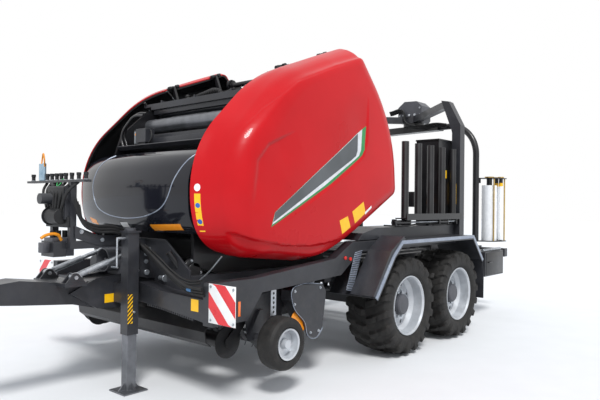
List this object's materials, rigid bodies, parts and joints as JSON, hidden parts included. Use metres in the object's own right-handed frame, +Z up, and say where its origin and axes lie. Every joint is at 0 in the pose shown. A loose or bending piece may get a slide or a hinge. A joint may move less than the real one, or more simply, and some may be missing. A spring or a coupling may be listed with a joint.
{
  "type": "trailed round baler with bale wrapper",
  "caption": "Trailed round baler on a tandem axle with red side doors, black front hood, tined pick-up and a rear bale wrapper with turning film arms.",
  "frame": {"origin": "on the ground, in the middle of the machine's length and width", "axes": "+X forward to the towing eye, +Y to the machine's left, +Z up"},
  "size_m": [7.23, 2.95, 3.0782],
  "materials": {
    "anthracite_paint": "satin powder coat",
    "black_paint": "satin",
    "red_panel_paint": "gloss",
    "gloss_black_hood": "high gloss",
    "black_plastic": "matte",
    "silver_paint": "satin",
    "zinc_steel": "zinc plated",
    "forged_steel": "forged",
    "cast_housing": "satin",
    "roller_steel": "worn steel",
    "tyre_rubber": "matte",
    "belt_rubber": "matte",
    "board_white": "reflective sheet",
    "wrap_film": "stretch film"
  },
  "bodies": {
    "chassis": {"main_frame": "anthracite_paint", "side_beam_left": "anthracite_paint", "side_beam_right": "anthracite_paint", "drawbar": "anthracite_paint", "towing_eye": "forged_steel", "drawbar_links": "zinc_steel", "jack_tube": "anthracite_paint", "jack_crank": "zinc_steel", "hose_mast": "black_plastic", "gearbox": "cast_housing", "chamber_walls": "anthracite_paint", "chamber_rollers": "roller_steel", "top_beams": "anthracite_paint", "net_tray": "anthracite_paint", "tandem_axles": "anthracite_paint", "mudguard_left": "anthracite_paint", "mudguard_right": "anthracite_paint", "side_box_left": "anthracite_paint", "side_box_right": "anthracite_paint", "film_rack_left": "black_paint", "film_rack_right": "black_paint", "control_cabinet": "black_paint", "gantry": "anthracite_paint", "wrap_motor": "cast_housing", "transfer_bed": "anthracite_paint", "table_frame": "anthracite_paint", "rear_frame": "anthracite_paint", "front_boards": "board_white", "drive_covers": "anthracite_paint", "intake": "anthracite_paint"},
    "pickup": {"pickup_frame": "anthracite_paint"},
    "reel": {"pickup_reel": "roller_steel"},
    "crop_press": {"crop_press": "black_paint", "crop_press_arms": "black_paint"},
    "gauge_wheel_left": {"gauge_tyre_left": "tyre_rubber", "gauge_rim_left": "silver_paint"},
    "gauge_wheel_right": {"gauge_tyre_right": "tyre_rubber", "gauge_rim_right": "silver_paint"},
    "wheel_front_left": {"tyre_front_left": "tyre_rubber", "rim_front_left": "silver_paint"},
    "wheel_front_right": {"tyre_front_right": "tyre_rubber", "rim_front_right": "silver_paint"},
    "wheel_rear_left": {"tyre_rear_left": "tyre_rubber", "rim_rear_left": "silver_paint"},
    "wheel_rear_right": {"tyre_rear_right": "tyre_rubber", "rim_rear_right": "silver_paint"},
    "side_door_left": {"door_left": "red_panel_paint", "door_lining_left": "black_plastic"},
    "side_door_right": {"door_right": "red_panel_paint", "door_lining_right": "black_plastic"},
    "front_hood": {"hood": "gloss_black_hood"},
    "rear_gate": {"tailgate": "anthracite_paint", "tailgate_rollers": "roller_steel"},
    "parking_jack": {"jack_leg": "zinc_steel"},
    "wrapping_arms": {"wrap_arms": "black_paint", "film_dispensers": "anthracite_paint"},
    "film_left": {"film_roll_left": "wrap_film"},
    "film_right": {"film_roll_right": "wrap_film"},
    "table_front": {"table_roller_front": "belt_rubber"},
    "table_rear": {"table_roller_rear": "belt_rubber"}
  },
  "joints": [
    {"name": "wheel_front_left_spin", "type": "hinge", "parent": "chassis", "child": "wheel_front_left", "pos_m": [-0.2585, 1.195, 0.505], "axis": [0, 1, 0], "continuous": true},
    {"name": "wheel_front_right_spin", "type": "hinge", "parent": "chassis", "child": "wheel_front_right", "pos_m": [-0.2585, -1.195, 0.505], "axis": [0, 1, 0], "continuous": true},
    {"name": "wheel_rear_left_spin", "type": "hinge", "parent": "chassis", "child": "wheel_rear_left", "pos_m": [-1.3715, 1.195, 0.505], "axis": [0, 1, 0], "continuous": true},
    {"name": "wheel_rear_right_spin", "type": "hinge", "parent": "chassis", "child": "wheel_rear_right", "pos_m": [-1.3715, -1.195, 0.505], "axis": [0, 1, 0], "continuous": true},
    {"name": "pickup_lift", "type": "hinge", "parent": "chassis", "child": "pickup", "pos_m": [0.825, 0, 0.7], "axis": [0, 1, 0], "range_deg": [0, 16]},
    {"name": "reel_spin", "type": "hinge", "parent": "pickup", "child": "reel", "pos_m": [1.4, 0, 0.53], "axis": [0, 1, 0], "continuous": true},
    {"name": "gauge_wheel_left_spin", "type": "hinge", "parent": "pickup", "child": "gauge_wheel_left", "pos_m": [1.555, 1.315, 0.42], "axis": [0, 1, 0], "continuous": true},
    {"name": "gauge_wheel_right_spin", "type": "hinge", "parent": "pickup", "child": "gauge_wheel_right", "pos_m": [1.555, -1.315, 0.42], "axis": [0, 1, 0], "continuous": true},
    {"name": "crop_press_float", "type": "hinge", "parent": "pickup", "child": "crop_press", "pos_m": [1.54, 0, 0.672], "axis": [0, -1, 0], "range_deg": [0, 10]},
    {"name": "side_door_left_open", "type": "hinge", "parent": "chassis", "child": "side_door_left", "pos_m": [0.735, 0.798, 2.8942], "axis": [0.9349, 0, -0.3549], "range_deg": [0, 60]},
    {"name": "side_door_right_open", "type": "hinge", "parent": "chassis", "child": "side_door_right", "pos_m": [0.735, -0.798, 2.8942], "axis": [-0.9349, 0, 0.3549], "range_deg": [0, 60]},
    {"name": "hood_open", "type": "hinge", "parent": "chassis", "child": "front_hood", "pos_m": [1.845, 0, 1.925], "axis": [0, -1, 0], "range_deg": [0, 70]},
    {"name": "tailgate_open", "type": "hinge", "parent": "chassis", "child": "rear_gate", "pos_m": [0.295, 0, 2.9], "axis": [0, 1, 0], "range_deg": [0, 55]},
    {"name": "jack_lift", "type": "slide", "parent": "chassis", "child": "parking_jack", "axis": [0, 0, 1], "range_m": [0, 0.36]},
    {"name": "wrapping_arms_turn", "type": "hinge", "parent": "chassis", "child": "wrapping_arms", "pos_m": [-2.765, 0, 2.64], "axis": [0, 0, 1], "continuous": true},
    {"name": "film_left_spin", "type": "hinge", "parent": "wrapping_arms", "child": "film_left", "pos_m": [-2.793, 1.165, 1.06], "axis": [0, 0, 1], "continuous": true},
    {"name": "film_right_spin", "type": "hinge", "parent": "wrapping_arms", "child": "film_right", "pos_m": [-2.737, -1.165, 1.06], "axis": [0, 0, 1], "continuous": true},
    {"name": "table_front_spin", "type": "hinge", "parent": "chassis", "child": "table_front", "pos_m": [-2.345, 0, 1.005], "axis": [0, 1, 0], "continuous": true},
    {"name": "table_rear_spin", "type": "hinge", "parent": "chassis", "child": "table_rear", "pos_m": [-3.185, 0, 1.005], "axis": [0, 1, 0], "continuous": true}
  ]
}
